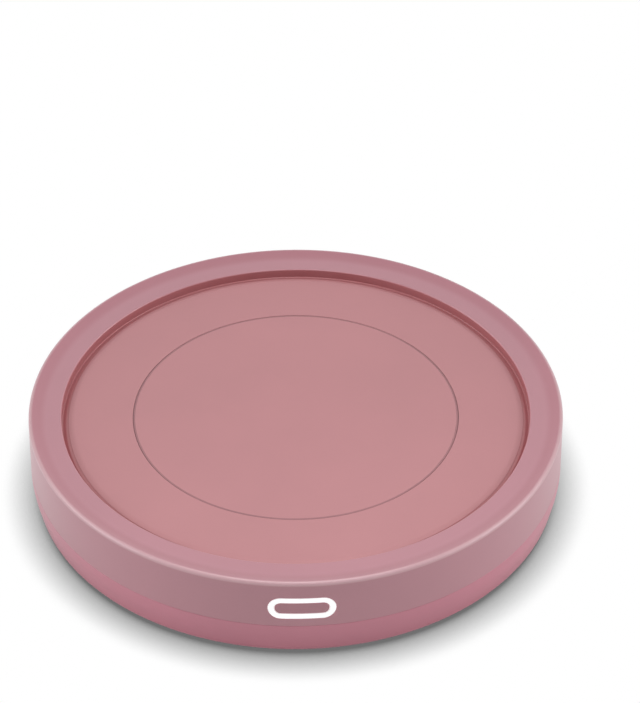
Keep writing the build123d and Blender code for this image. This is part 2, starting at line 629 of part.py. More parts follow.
# ---------------------------------------------------------------- power socket
def dc_socket():
    """Moulded socket with a round nose in the wall's hole and the plug's bore."""
    half = SOCKET_W / 2
    body = block(-half, half, SOCKET_BACK_Y, SOCKET_FRONT_Y, SOCKET_UNDER_Z, SOCKET_TOP_Z)
    body += rod_y(NOSE_R, SOCKET_FRONT_Y, SOCKET_FACE_Y, SEAM_Z)
    return body - rod_y(BARREL_R, BARREL_END_Y, SOCKET_FACE_Y, SEAM_Z)


def socket_pin():
    """Centre contact of the socket."""
    return rod_y(SOCKET_PIN_R, BARREL_END_Y, SOCKET_FACE_Y - SOCKET_PIN_BACK, SEAM_Z)


def socket_terminals():
    """Solder tabs at the back of the socket."""
    w, d, t = TAB_SIZE
    one = block(-w / 2, w / 2, SOCKET_BACK_Y - d, SOCKET_BACK_Y, SEAM_Z - t / 2, SEAM_Z + t / 2)
    return Compound([Pos(x, 0, 0) * one for x in (-TAB_SPREAD, TAB_SPREAD)])


PIECES = (
    base_cover, top_cover, deck_panel, rubber_feet, housing_screws,
    warm_plate, plate_seal, heater_film, insulation_disc, temperature_sensor, thermal_fuse,
    plate_carrier, return_spring,
    light_ring, power_button, button_switch, button_plunger, button_leds, button_board, board_header,
    circuit_board, weight_switch, weight_plunger, control_chip, power_transistor,
    choke, capacitor, power_connector, heater_connector, power_leads, heater_leads,
    dc_socket, socket_pin, socket_terminals,
)

for piece in PIECES:
    export_step(piece(), f"parts/{piece.__name__}.step")
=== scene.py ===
"""Dresses a round electric mug warmer: mouldings, lit ring, warm plate, socket and small parts.

Metres, +Z up, front towards -Y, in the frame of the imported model.
"""
from math import cos, pi, radians, sin, sqrt, tan

import bmesh
import bpy
from mathutils import Matrix, Vector


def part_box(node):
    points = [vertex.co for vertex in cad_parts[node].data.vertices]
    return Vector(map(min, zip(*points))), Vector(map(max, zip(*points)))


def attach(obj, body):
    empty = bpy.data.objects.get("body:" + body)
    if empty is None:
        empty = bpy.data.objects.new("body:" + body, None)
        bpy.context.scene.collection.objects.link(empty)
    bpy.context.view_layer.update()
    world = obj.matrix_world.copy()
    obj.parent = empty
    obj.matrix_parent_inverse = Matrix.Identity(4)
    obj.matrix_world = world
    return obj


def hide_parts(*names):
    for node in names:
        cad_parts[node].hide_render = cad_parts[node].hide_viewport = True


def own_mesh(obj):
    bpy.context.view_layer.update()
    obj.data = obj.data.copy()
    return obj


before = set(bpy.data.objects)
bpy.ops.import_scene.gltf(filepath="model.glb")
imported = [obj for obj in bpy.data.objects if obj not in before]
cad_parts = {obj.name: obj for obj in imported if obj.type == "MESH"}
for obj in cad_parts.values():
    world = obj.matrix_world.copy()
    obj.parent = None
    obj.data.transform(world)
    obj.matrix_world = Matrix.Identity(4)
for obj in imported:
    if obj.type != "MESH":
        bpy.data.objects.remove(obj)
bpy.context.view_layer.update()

bl_info = {
    "name": "Electric Mug Warmer",
    "version": (1, 0, 0),
    "blender": (4, 5, 0),
    "location": "3D View > Sidebar > Mug Warmer",
    "description": "Builds the looks of a round electric mug warmer on its packed model",
    "category": "Add Mesh",
}

MM = 0.001


def mm(*values):
    """Millimetres as metres."""
    return [value * MM for value in values]


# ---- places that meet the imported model
TOP_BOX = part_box("top_cover")
DECK_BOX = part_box("deck_panel")
PLATE_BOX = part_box("warm_plate")
SEAL_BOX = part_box("plate_seal")
FEET_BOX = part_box("rubber_feet")
SCREWS_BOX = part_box("housing_screws")
RING_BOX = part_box("light_ring")
BUTTON_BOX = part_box("power_button")
SOCKET_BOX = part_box("dc_socket")
PIN_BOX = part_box("socket_pin")
SPRING_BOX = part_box("return_spring")

BASE_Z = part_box("base_cover")[0].z
FLOOR_Z, POST_AT = mm(2.8, 30)      # the base's inner floor; its guide posts from the middle
FOOT_RADIUS, HEAD_RADIUS, PILOT_RADIUS = mm(5.5, 2.6, 1.25)
RING_WIDTH, RING_HEIGHT, RING_LINE = mm(15.9, 6.2, 1.45)
BOSS_SPAN = [2 * (SCREWS_BOX[1][axis] - HEAD_RADIUS) for axis in (0, 1)]
FOOT_AT = (FEET_BOX[1].x - FOOT_RADIUS) * sqrt(2)
BUTTON_Z = (RING_BOX[0].z + RING_BOX[1].z) / 2
SOCKET_Z = (SOCKET_BOX[0].z + SOCKET_BOX[1].z) / 2
SOCKET_PLACE = Matrix.Translation((0, 0, SOCKET_Z)) @ Matrix.Rotation(-pi / 2, 4, "X")
OVERLAP, PAST = mm(0.2, 1)          # how far joined solids meet, and cutters pass a surface


# ---- sizes and colours
def length(name, description, millimetres):
    return bpy.props.FloatProperty(
        name=name, description=description, default=millimetres * MM, min=0.0,
        precision=5, subtype="DISTANCE", unit="LENGTH")


def colour(name, description, value):
    return bpy.props.FloatVectorProperty(
        name=name, description=description, default=value, min=0.0, max=1.0, size=3,
        subtype="COLOR")


def amount(name, description, value, **limits):
    return bpy.props.FloatProperty(
        name=name, description=description, default=value, **{"min": 0.0, **limits})


class WarmerSizes(bpy.types.PropertyGroup):
    """Sizes of the mouldings and of their edges."""
    body_radius: length("Body radius", "Outer wall of both mouldings", TOP_BOX[1].x / MM)
    seam_height: length("Seam height", "Parting line above the floor", 9.8)
    wall: length("Wall", "Wall of both mouldings", 2.0)
    lap_height: length("Lap height", "Height of the lap joint", 1.2)
    lap_gap: length("Lap gap", "Clearance in the lap joint", 0.1)
    lip_round: length("Lip rounding", "Outer rounding of the lip", 0.8)
    slope_width: length("Slope width", "Hollow slope from the lip's crest down to the land", 4.0)
    land_width: length("Land width", "From the outer wall to the drip channel", 8.0)
    land_height: length("Land height", "Land above the floor", 22.2)
    land_round: length("Land rounding", "Rounding of the land's inner edge", 0.4)
    channel_height: length("Channel height", "Lowest floor of the drip channel", 19.45)
    channel_rise: length("Channel rise", "How much its floor climbs towards the deck", 0.85)
    seat_width: length("Seat width", "From the outer wall to the deck's seat", 9.6)
    seat_height: length("Seat height", "Seat of the deck panel", 18.85)
    seat_under: length("Seat underside", "Underside of the deck's seat", 17.45)
    seat_opening: length("Seat opening", "Radius of the opening under the plate", 40.2)
    step_radius: length("Step radius", "Where the seat's floor ends under the land", 59.0)
    base_tuck: length("Base tuck", "How far the base narrows towards its underside", 1.2)
    bend_height: length("Bend height", "Height where the narrowing starts", 6.8)
    bend_round: length("Bend rounding", "Rounding of that bend", 14.0)
    edge_bevel: length("Edge bevel", "Lower edge of the base", 0.8)
    edge_round: length("Edge rounding", "Rounding of that bevel's two corners", 1.0)
    fine_round: length("Fine rounding", "Rounding of small moulded edges", 0.25)
    seam_round: length("Seam rounding", "Rounding of the edges at the parting line", 0.12)
    deck_shoulder: length("Deck shoulder", "Width of the soft slope round the deck's edge", 1.1)
    deck_fall: length("Deck fall", "How much that slope falls towards the drip channel", 0.28)
    deck_round: length("Deck rounding", "Rounding where that slope meets the flat deck", 4.0)
    deck_opening: length("Deck opening", "Opening round the warm plate", 39.72)


class WarmerColours(bpy.types.PropertyGroup):
    """Colours of the finishes."""
    cover: colour("Cover", "Upper moulding", (0.50, 0.236, 0.275))
    # Lip is a painted highlight: a paler colour along the lip's crest rather than wear
    lip: colour("Lip", "Rubbed crest of the lip", (0.74, 0.50, 0.53))
    # Hollow is painted shade: a darker colour on the slope inside the lip
    hollow: colour("Hollow", "Slope inside the lip", (0.43, 0.17, 0.205))
    # Channel is painted shade: a dark red colour in the drip channel
    channel: colour("Channel", "Drip channel", (0.42, 0.145, 0.155))
    base: colour("Base", "Lower moulding", (0.57, 0.204, 0.265))
    # Button is painted shade: the cover's pink made darker for the button inside the lit ring
    button: colour("Button", "Push button inside the lit ring", (0.455, 0.208, 0.244))
    deck: colour("Deck", "Deck panel", (0.52, 0.236, 0.252))
    plate: colour("Plate", "Coating of the warm plate", (0.52, 0.236, 0.252))
    seal: colour("Seal", "Silicone band round the plate", (0.36, 0.17, 0.185))
    light: colour("Light", "Lit ring round the button", (1.0, 1.0, 1.0))
    rubber: colour("Rubber", "Feet", (0.035, 0.034, 0.036))
    steel: colour("Steel", "Screws and spring", (0.62, 0.61, 0.60))
    socket: colour("Socket", "Power socket", (0.022, 0.022, 0.024))


class WarmerStage(bpy.types.PropertyGroup):
    """Light, floor and camera."""
    sky: amount("Sky", "Light from all round", 0.08)
    key: amount("Key", "Soft lamp above, in watts", 0.58)
    fill: amount("Fill", "Soft light from behind", 0.24)
    side: amount("Sides", "Low light from both sides", 1.6)
    floor: amount("Floor", "Paleness of the floor", 0.86, max=1.0)
    shadow_reach: length("Shadow reach", "How far the object's soft shadow spreads", 16)
    lens: amount("Lens", "Focal length in millimetres", 186.6, min=1.0)


# ---- mesh helpers
TURNS = 256             # facets round the large mouldings
SMALL_TURNS = 48        # facets round small pieces
FINE_TURNS = 32         # facets round screws and pins
ARC_STEPS = 6           # facets along a rounded corner
SLOPE_STEPS = 14        # facets across the lip's inner slope
TINY = 1e-7             # nearer than this, points are one
SHARP_ANGLE = radians(32)


def rounded(corners):
    """Points along a closed outline of (radius, height) and (radius, height, rounding) corners."""
    points = []
    for i, (r, z, *size) in enumerate(corners):
        here = Vector((r, z))
        if not any(size):
            points.append(here)
            continue
        back = (Vector(corners[i - 1][:2]) - here).normalized()
        ahead = (Vector(corners[(i + 1) % len(corners)][:2]) - here).normalized()
        half = back.angle(ahead) / 2
        reach = size[0] / tan(half)
        centre = here + (back + ahead).normalized() * (size[0] / sin(half))
        start, end = here + back * reach - centre, here + ahead * reach - centre
        turn = start.angle_signed(end)
        for k in range(ARC_STEPS + 1):
            points.append(centre + Matrix.Rotation(-turn * k / ARC_STEPS, 2) @ start)
    return points


def new_object(name, data):
    made = bpy.data.objects.new(name, data)
    bpy.context.scene.collection.objects.link(made)
    return made


def mesh_object(name, bm):
    """Object of a finished mesh, with its faces turned outwards."""
    bmesh.ops.remove_doubles(bm, verts=bm.verts, dist=TINY)
    bmesh.ops.recalc_face_normals(bm, faces=bm.faces)
    mesh = bpy.data.meshes.new(name)
    bm.to_mesh(mesh)
    bm.free()
    return new_object(name, mesh)


def new_face(bm, *corners):
    """Face through its corners, each taken once."""
    bm.faces.new(list(dict.fromkeys(corners)))


def turned(name, corners, steps=TURNS, place=None):
    """Solid turned about Z from a closed outline of corners."""
    bm = bmesh.new()
    angles = [2 * pi * k / steps for k in range(steps)]
    rings = [[bm.verts.new((r * cos(a), r * sin(a), z))
              for a in (angles if r > TINY else angles[:1])] for r, z in rounded(corners)]
    for ring, ahead in zip(rings, rings[1:] + rings[:1]):
        if len(ring) == 1 and len(ahead) == 1:
            continue
        for k in range(steps):
            n = (k + 1) % steps
            new_face(bm, ring[k % len(ring)], ring[n % len(ring)],
                     ahead[n % len(ahead)], ahead[k % len(ahead)])
    if place is not None:
        bmesh.ops.transform(bm, matrix=place, verts=bm.verts)
    return mesh_object(name, bm)


def rod(name, radius, low, high, ease=0.0):
    """Upright rod with eased ends."""
    return turned(name, [(0, low), (radius, low, ease), (radius, high, ease), (0, high)],
                  SMALL_TURNS)


def block(name, low, high, bevel=0.0):
    """Box between two corners, with its edges eased."""
    bm = bmesh.new()
    bmesh.ops.create_cube(bm, size=1.0)
    low, high = Vector(low), Vector(high)
    scale = Matrix.Diagonal((*(high - low), 1.0))
    bmesh.ops.transform(bm, matrix=Matrix.Translation((low + high) / 2) @ scale, verts=bm.verts)
    if bevel > 0:
        bmesh.ops.bevel(bm, geom=bm.edges, offset=bevel, segments=2, profile=0.7, affect="EDGES")
    return mesh_object(name, bm)


def middle_block(name, half, front, back, low, high, bevel=0.0):
    """Box that reaches half its width to either side of the middle."""
    return block(name, (-half, front, low), (half, back, high), bevel)


def stadium(width, height, arc_steps=16, straight_steps=24):
    """Points (x, z) round a shape with half-round ends, each upper point over its lower one."""
    end = height / 2
    straight = width / 2 - end
    quarter = [pi / 2 * k / arc_steps for k in range(arc_steps + 1)]
    upper = [(straight + end * cos(a), end * sin(a)) for a in quarter]
    upper += [(straight - 2 * straight * k / straight_steps, end) for k in range(1, straight_steps)]
    upper += [(-straight - end * sin(a), end * cos(a)) for a in quarter]
    return upper + [(x, -z) for x, z in reversed(upper[1:-1])]


def wrapped(outline, radius):
    """Outline laid on an upright cylinder, at its front and the button's height."""
    return [Vector((x, -sqrt(radius * radius - x * x), BUTTON_Z + z)) for x, z in outline]


def flat(outline, y):
    """Outline laid on an upright plane, at the button's height."""
    return [Vector((x, y, BUTTON_Z + z)) for x, z in outline]


def lofted(name, loops, hollow=False):
    """Solid through loops of equal count; a hollow one joins its last loop to its first."""
    bm = bmesh.new()
    made = [[bm.verts.new(p) for p in loop] for loop in loops]
    count = len(made[0])
    for one, other in zip(made, made[1:] + (made[:1] if hollow else [])):
        for k in range(count):
            n = (k + 1) % count
            bm.faces.new((one[k], one[n], other[n], other[k]))
    if not hollow:
        for loop in (made[0], made[-1]):
            for k in range(count // 2):
                new_face(bm, loop[k], loop[k + 1], loop[count - k - 1], loop[(count - k) % count])
    return mesh_object(name, bm)


def shift(piece, by):
    """Moves a piece's mesh, and leaves its object where it is."""
    piece.data.transform(Matrix.Translation(by))


def joined(pieces):
    """One object of several separate solids."""
    first = pieces[0]
    bm = bmesh.new()
    for piece in pieces:
        bm.from_mesh(piece.data)
    bm.to_mesh(first.data)
    bm.free()
    for piece in pieces[1:]:
        bpy.data.objects.remove(piece)
    return first


def applied(piece):
    """Turns what a piece's modifiers make into its plain mesh."""
    bpy.context.view_layer.update()
    graph = bpy.context.evaluated_depsgraph_get()
    mesh = bpy.data.meshes.new_from_object(
        piece.evaluated_get(graph), preserve_all_data_layers=True, depsgraph=graph)
    old = piece.data
    piece.modifiers.clear()
    piece.data = mesh
    mesh.name = piece.name
    bpy.data.meshes.remove(old)
    return piece


def combine(piece, others, operation):
    """Adds or cuts other solids, which are used up."""
    for other in others:
        tool = piece.modifiers.new(operation.title(), "BOOLEAN")
        tool.operation = operation
        tool.solver = "EXACT"
        tool.object = other
        applied(piece)
        bpy.data.objects.remove(other)


def shaded(piece):
    """Smooth surfaces, with crisp edges where the shape turns sharply."""
    mesh = piece.data
    mesh.polygons.foreach_set("use_smooth", [True] * len(mesh.polygons))
    mesh.set_sharp_from_angle(angle=SHARP_ANGLE)
    tool = piece.modifiers.new("Even shading", "WEIGHTED_NORMAL")
    tool.keep_sharp = True
    tool.weight = 80
    return applied(piece)


def painted(piece, look):
    """Gives a piece one finish."""
    piece.data.materials.clear()
    piece.data.materials.append(finish(look))


def fitted(piece, body, node, look):
    """Shades and paints a piece, and fixes it to the body of the node that it stands for."""
    painted(shaded(piece), look)
    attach(piece, body)
    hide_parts(node)


# ---- node helpers
def feed(tree, node, **values):
    """Fills a node's inputs, by their names."""
    fill(tree, node, {key.replace("_", " "): value for key, value in values.items()})


def fill(tree, node, values):
    """Fills a node's inputs. A value is a plain one, or the output that feeds the input."""
    for key, value in values.items():
        if isinstance(value, bpy.types.NodeSocket):
            tree.links.new(value, node.inputs[key])
        else:
            node.inputs[key].default_value = value


def add(tree, kind, values=None, **settings):
    """Adds a node, with values for its inputs."""
    made = tree.nodes.new(kind)
    for key, value in settings.items():
        setattr(made, key, value)
    fill(tree, made, values or {})
    return made


def output(tree, kind, values=None, **settings):
    """First output of a new node."""
    return add(tree, kind, values, **settings).outputs[0]


def vector(tree, *values):
    return output(tree, "ShaderNodeCombineXYZ", dict(enumerate(values)))


def math_node(tree, operation, *values):
    return output(tree, "ShaderNodeMath", dict(enumerate(values)), operation=operation)


def product(tree, one, other):
    return math_node(tree, "MULTIPLY", one, other)


def stretch(tree, value, low, high, to_low=0.0, to_high=1.0, smooth=False):
    """Maps a range onto another, clamped; a smooth one eases in and out."""
    return output(tree, "ShaderNodeMapRange", {
        "Value": value, "From Min": low, "From Max": high, "To Min": to_low, "To Max": to_high,
    }, interpolation_type="SMOOTHSTEP" if smooth else "LINEAR")


def between(tree, share, low, high):
    """Value from low to high, by a share of 0 to 1."""
    return stretch(tree, share, 0.0, 1.0, low, high)


def blend_colour(tree, factor, one, other, kind="MIX"):
    return add(tree, "ShaderNodeMix", {0: factor, 6: one, 7: other},
               data_type="RGBA", blend_type=kind).outputs[2]


def toned(tree, factor, value, low, high):
    """Colour that goes from one share of its lightness to another."""
    return blend_colour(tree, factor, shade(value, low), shade(value, high))


def noise(tree, place, scale, detail, roughness=0.5):
    return output(tree, "ShaderNodeTexNoise", {
        "Vector": place, "Scale": scale, "Detail": detail, "Roughness": roughness})


def relief(tree, height, strength, depth):
    """Normal of a fine relief."""
    return output(tree, "ShaderNodeBump", {
        "Height": height, "Strength": strength, "Distance": depth})


def new_group(name, kind, inputs, outputs):
    """Empty node group with its input and output nodes.

    Each of inputs has a default or, for shapes and finishes, a kind of socket.
    """
    tree = bpy.data.node_groups.new(name, kind)
    for label, default in inputs.items():
        plain = type(default) in SOCKETS
        made = tree.interface.new_socket(
            label, in_out="INPUT", socket_type=SOCKETS[type(default)] if plain else default)
        if plain:
            made.default_value = default
    for label in outputs:
        tree.interface.new_socket(
            label, in_out="OUTPUT", socket_type=inputs.get(label, SOCKETS[float]))
    return tree, add(tree, "NodeGroupInput").outputs, add(tree, "NodeGroupOutput")


SOCKETS = {float: "NodeSocketFloat", int: "NodeSocketInt", tuple: "NodeSocketVector"}
SHAPE, FINISH = "NodeSocketGeometry", "NodeSocketMaterial"
USUAL_NOISE = (0.3, 0.7)        # range that a noise texture mostly keeps to


def grain_group(name):
    """Spark-eroded mould texture: slow drift of tone, fine grain and a few specks."""
    tree, given, out = new_group(name, "ShaderNodeTree", {
        "Grain Size": 0.3 * MM, "Cloud Size": 40 * MM}, ("Tone", "Grain", "Specks"))
    place = add(tree, "ShaderNodeTexCoord").outputs["Object"]
    fine, slow = [math_node(tree, "DIVIDE", 1.0, given[size])
                  for size in ("Grain Size", "Cloud Size")]
    speck_fineness = 0.09       # against that of the grain
    cloud = noise(tree, place, slow, 4.0, 0.55)
    grain = noise(tree, place, fine, 3.0, 0.6)
    specks = noise(tree, place, product(tree, fine, speck_fineness), 5.0, 0.75)
    feed(tree, out, Tone=stretch(tree, cloud, *USUAL_NOISE),
         Grain=stretch(tree, grain, 0.25, 0.75), Specks=stretch(tree, specks, 0.66, 0.74))
    return tree


def band_group(name):
    """Band round the middle at one height and radius, a little uneven: the mask for rings of
    painted highlight and painted shade.
    """
    tree, given, out = new_group(name, "ShaderNodeTree", {
        "Height": 23 * MM, "Depth": 0.5 * MM, "Radius": 64 * MM, "Reach": 1 * MM, "Core": 0.0,
    }, ["Mask"])
    place = add(tree, "ShaderNodeTexCoord").outputs["Object"]
    x, y, z = add(tree, "ShaderNodeSeparateXYZ", {0: place}).outputs
    across = vector(tree, x, y)
    radius = add(tree, "ShaderNodeVectorMath", {0: across}, operation="LENGTH").outputs["Value"]
    near = []
    for at, middle, limit in ((z, "Height", "Depth"), (radius, "Radius", "Reach")):
        off = math_node(tree, "ABSOLUTE", math_node(tree, "SUBTRACT", at, given[middle]))
        core = product(tree, given[limit], given["Core"])
        far = stretch(tree, off, core, given[limit], smooth=True)
        near.append(math_node(tree, "SUBTRACT", 1.0, far))
    patch_scale, thinnest = 90.0, 0.88
    patches = noise(tree, place, patch_scale, 6.0, 0.65)
    even = stretch(tree, patches, *USUAL_NOISE, thinnest, 1.0)
    feed(tree, out, Mask=product(tree, product(tree, *near), even))
    return tree


def brushed_group(name):
    """Fine lines of a drawn or turned metal, along one axis."""
    tree, given, out = new_group(name, "ShaderNodeTree", {
        "Stretch": (4000.0, 4000.0, 300.0)}, ("Lines", "Stain"))
    place = add(tree, "ShaderNodeTexCoord").outputs["Object"]
    moved = output(tree, "ShaderNodeVectorMath", {0: place, 1: given["Stretch"]},
                   operation="MULTIPLY")
    stain_scale = 350.0
    feed(tree, out, Lines=stretch(tree, noise(tree, moved, 1.0, 2.0), *USUAL_NOISE),
         Stain=stretch(tree, noise(tree, place, stain_scale, 5.0), 0.45, 0.75))
    return tree


def kept_group(name):
    """Node group by its name, made once."""
    return bpy.data.node_groups.get(name) or GROUP_MAKERS[name](name)


def use(tree, name, **values):
    """Places a shader group in a material; values are for its inputs."""
    made = add(tree, "ShaderNodeGroup", node_tree=kept_group(name))
    feed(tree, made, **values)
    return made.outputs


def new_material(name, **settings):
    """Material with one Principled shader; settings are its plain values."""
    made = bpy.data.materials.new(name)
    made.use_nodes = True
    tree = made.node_tree
    shader = tree.nodes["Principled BSDF"]
    feed(tree, shader, **settings)
    return made, tree, shader


def shade(value, share):
    """Colour with four parts, made lighter or darker by a share."""
    return tuple(min(1.0, c * share) for c in value) + (1.0,)


# ---- finishes
SPECK_SHARE, SPECK_TONE = 0.07, 1.2     # how much specks show, and how light they are
ROUGH_DRIFT = 0.03                      # how far the roughness drifts either way
FINE_SHARE = 0.6                        # drift of the grain's tone against that of the slow clouds


def moulded(name, value, roughness=0.42, bump=0.12, grain=0.3, drift=0.035, painted_light_bands=(), coat=0.0,
            density=1.5):
    """Satin moulded plastic or coating.

    Painted light bands are (height, depth, radius, reach, core, share, tone) of rings of painted
    highlight and painted shade: share of them takes the tone, and core of each is even.
    """
    made, tree, shader = new_material(name, Coat_Weight=coat, Coat_Roughness=0.3, IOR=density)
    texture = use(tree, "Moulded Grain", Grain_Size=grain * MM)
    tone = toned(tree, texture["Tone"], value, 1 - drift, 1 + drift)
    fine = between(tree, texture["Grain"], 1 - drift * FINE_SHARE, 1 + drift * FINE_SHARE)
    tone = blend_colour(tree, 1.0, tone, fine, "MULTIPLY")
    specks = product(tree, texture["Specks"], SPECK_SHARE)
    tone = blend_colour(tree, specks, tone, shade(value, SPECK_TONE))
    rough = between(tree, texture["Tone"], roughness - ROUGH_DRIFT, roughness + ROUGH_DRIFT)
    # each ring paints a highlight or a shade into the tone, and makes the surface there a little
    # glossier
    for height, depth, radius, reach, core, share, hue in painted_light_bands:
        painted_ring_mask = use(tree, "Ring Band", Height=height, Depth=depth, Radius=radius, Reach=reach,
                   Core=core)["Mask"]
        tone = blend_colour(tree, product(tree, painted_ring_mask, share), tone, (*hue, 1.0))
        rough = math_node(tree, "SUBTRACT", rough, product(tree, painted_ring_mask, ROUGH_DRIFT))
    feed(tree, shader, Base_Color=tone, Roughness=rough,
         Normal=relief(tree, texture["Grain"], bump, 0.02 * MM))
    return made


def rubber(name, value):
    """Matt rubber with a fine grain and a little dust."""
    made, tree, shader = new_material(name, Sheen_Weight=0.15, Specular_IOR_Level=0.35)
    texture = use(tree, "Moulded Grain", Grain_Size=0.22 * MM, Cloud_Size=6 * MM)
    dust_share, dust_tone = 0.35, 2.2
    dust = product(tree, texture["Tone"], dust_share)
    feed(tree, shader, Base_Color=toned(tree, dust, value, 1.0, dust_tone),
         Roughness=between(tree, texture["Tone"], 0.68, 0.85),
         Normal=relief(tree, texture["Grain"], 0.35, 0.04 * MM))
    return made


def metal(name, value, roughness=0.28, lines=(4000.0, 4000.0, 300.0)):
    """Drawn or plated metal with fine lines and slight stains."""
    made, tree, shader = new_material(name, Metallic=1.0)
    texture = use(tree, "Drawn Metal", Stretch=lines)
    stain_share, stain_tone = 0.5, 0.72
    stain = product(tree, texture["Stain"], stain_share)
    feed(tree, shader, Base_Color=toned(tree, stain, value, 1.0, stain_tone),
         Roughness=between(tree, texture["Lines"], roughness - 0.07, roughness + 0.1),
         Normal=relief(tree, texture["Lines"], 0.15, 0.01 * MM))
    return made


def lit_diffuser(name, value):
    """Milky light guide, lit from behind by two lamps."""
    made, tree, shader = new_material(name, Emission_Strength=0.45, Roughness=0.35)
    tone = use(tree, "Moulded Grain", Grain_Size=0.4 * MM, Cloud_Size=5 * MM)["Tone"]
    feed(tree, shader, Base_Color=toned(tree, tone, value, 0.90, 0.94),
         Emission_Color=toned(tree, tone, value, 0.96, 1.0))
    return made


def cover_painted_light_bands():
    """Rings of the upper moulding: painted shade on the hollow slope, a painted highlight on the
    lip's crest and painted shade in the drip channel.
    """
    sizes, hues = bpy.context.scene.warmer_sizes, bpy.context.scene.warmer_colours
    radius, crest = sizes.body_radius, TOP_BOX[1].z - 0.4 * MM
    # middle and reach of the painted shade in the drip channel
    channel_z = (sizes.channel_height + sizes.land_height) / 2 - 0.2 * MM
    channel_radius = radius - sizes.land_width - 0.7 * MM
    return [
        # painted shade on the hollow slope inside the lip
        (crest, 1.2 * MM, radius - 1.9 * MM, 2.6 * MM, 0.2, 0.7, hues.hollow),
        # painted highlight along the outer rounding of the lip's crest
        (crest, 0.9 * MM, radius - 0.2 * MM, 0.85 * MM, 0.3, 0.6, hues.lip),
        # painted shade in the drip channel
        (channel_z, 1.6 * MM, channel_radius, 1.5 * MM, 0.75, 1.0, hues.channel)]


def finish(name):
    """Material by its name, made once."""
    kept = bpy.data.materials.get(name)
    if kept:
        return kept
    hues = bpy.context.scene.warmer_colours
    satin = dict(roughness=0.33, bump=0.06, density=1.55)
    maker, value, settings = {
        "cover pink": (moulded, hues.cover, dict(satin, painted_light_bands=cover_painted_light_bands())),
        # painted shade: the cover's pink made darker for the button
        "button pink": (moulded, hues.button, satin),
        "base pink": (moulded, hues.base, dict(roughness=0.34, bump=0.06, density=1.56)),
        "deck pink": (moulded, hues.deck, dict(roughness=0.45)),
        "plate coating": (moulded, hues.plate, dict(roughness=0.43, grain=0.18)),
        "seal silicone": (moulded, hues.seal, dict(roughness=0.6, grain=0.15, drift=0.08)),
        "foot rubber": (rubber, hues.rubber, {}),
        "screw steel": (metal, hues.steel, {}),
        "spring steel": (metal, shade(hues.steel, 0.85)[:3], dict(roughness=0.34)),
        "light diffuser": (lit_diffuser, hues.light, {}),
        "socket black": (moulded, hues.socket, dict(roughness=0.38, drift=0.12)),
        "contact brass": (metal, (0.78, 0.62, 0.33),
                          dict(roughness=0.25, lines=(900.0, 4000.0, 900.0))),
        "inner plastic": (moulded, (0.62, 0.60, 0.56), dict(roughness=0.5)),
        "heater foil": (moulded, (0.46, 0.21, 0.06),
                        dict(roughness=0.3, grain=0.5, drift=0.1, coat=0.3)),
        "felt": (moulded, (0.72, 0.70, 0.64),
                 dict(roughness=0.92, bump=0.9, grain=0.35, drift=0.12)),
        "component black": (moulded, (0.018, 0.018, 0.020), dict(roughness=0.4, drift=0.2)),
        "component metal": (metal, (0.70, 0.69, 0.67), dict(roughness=0.33)),
        "board green": (moulded, (0.012, 0.115, 0.045),
                        dict(roughness=0.34, grain=0.6, drift=0.18, coat=0.4)),
        "lead rubber": (rubber, (0.42, 0.02, 0.018), {}),
        "lamp": (lit_diffuser, (1.0, 0.98, 0.9), {}),
    }[name]
    return maker(name, value, **settings)


# ---- geometry node trees
CIRCLE, CORNERS, COIL = "Copies Round a Circle", "Copies at Four Corners", "Coil of Flat Wire"
TURN_ONLY = 1e-6        # radius of a circle so small that its copies only turn about the middle


def shape_group(name, inputs):
    """Empty tree that takes a mesh, its own inputs and a material, and gives a mesh."""
    return new_group(name, "GeometryNodeTree", {
        "Geometry": SHAPE, **inputs, "Material": FINISH}, ["Geometry"])


def circle_tree(name):
    """Copies of the object's own mesh round a circle, each turned to face outwards."""
    tree, given, out = shape_group(name, {"Count": 4, "Radius": 50 * MM, "Start": 0.0})
    circle = output(tree, "GeometryNodeMeshCircle", {
        "Vertices": given["Count"], "Radius": given["Radius"]})
    start = vector(tree, 0.0, 0.0, given["Start"])
    points = output(tree, "GeometryNodeTransform", {"Geometry": circle, "Rotation": start})
    place = output(tree, "GeometryNodeInputPosition")
    x, y = add(tree, "ShaderNodeSeparateXYZ", {0: place}).outputs[:2]
    facing = vector(tree, 0.0, 0.0, math_node(tree, "ARCTAN2", y, x))
    copies = output(tree, "GeometryNodeInstanceOnPoints", {
        "Points": points, "Instance": given["Geometry"], "Rotation": facing})
    return ended(tree, copies, given, out)


def corners_tree(name):
    """Copies of the object's own mesh at the four corners of a rectangle."""
    tree, given, out = shape_group(name, {"Width": 90 * MM, "Depth": 50 * MM})
    grid = output(tree, "GeometryNodeMeshGrid", {
        "Size X": given["Width"], "Size Y": given["Depth"], "Vertices X": 2, "Vertices Y": 2})
    copies = output(tree, "GeometryNodeInstanceOnPoints", {
        "Points": grid, "Instance": given["Geometry"]})
    return ended(tree, copies, given, out)


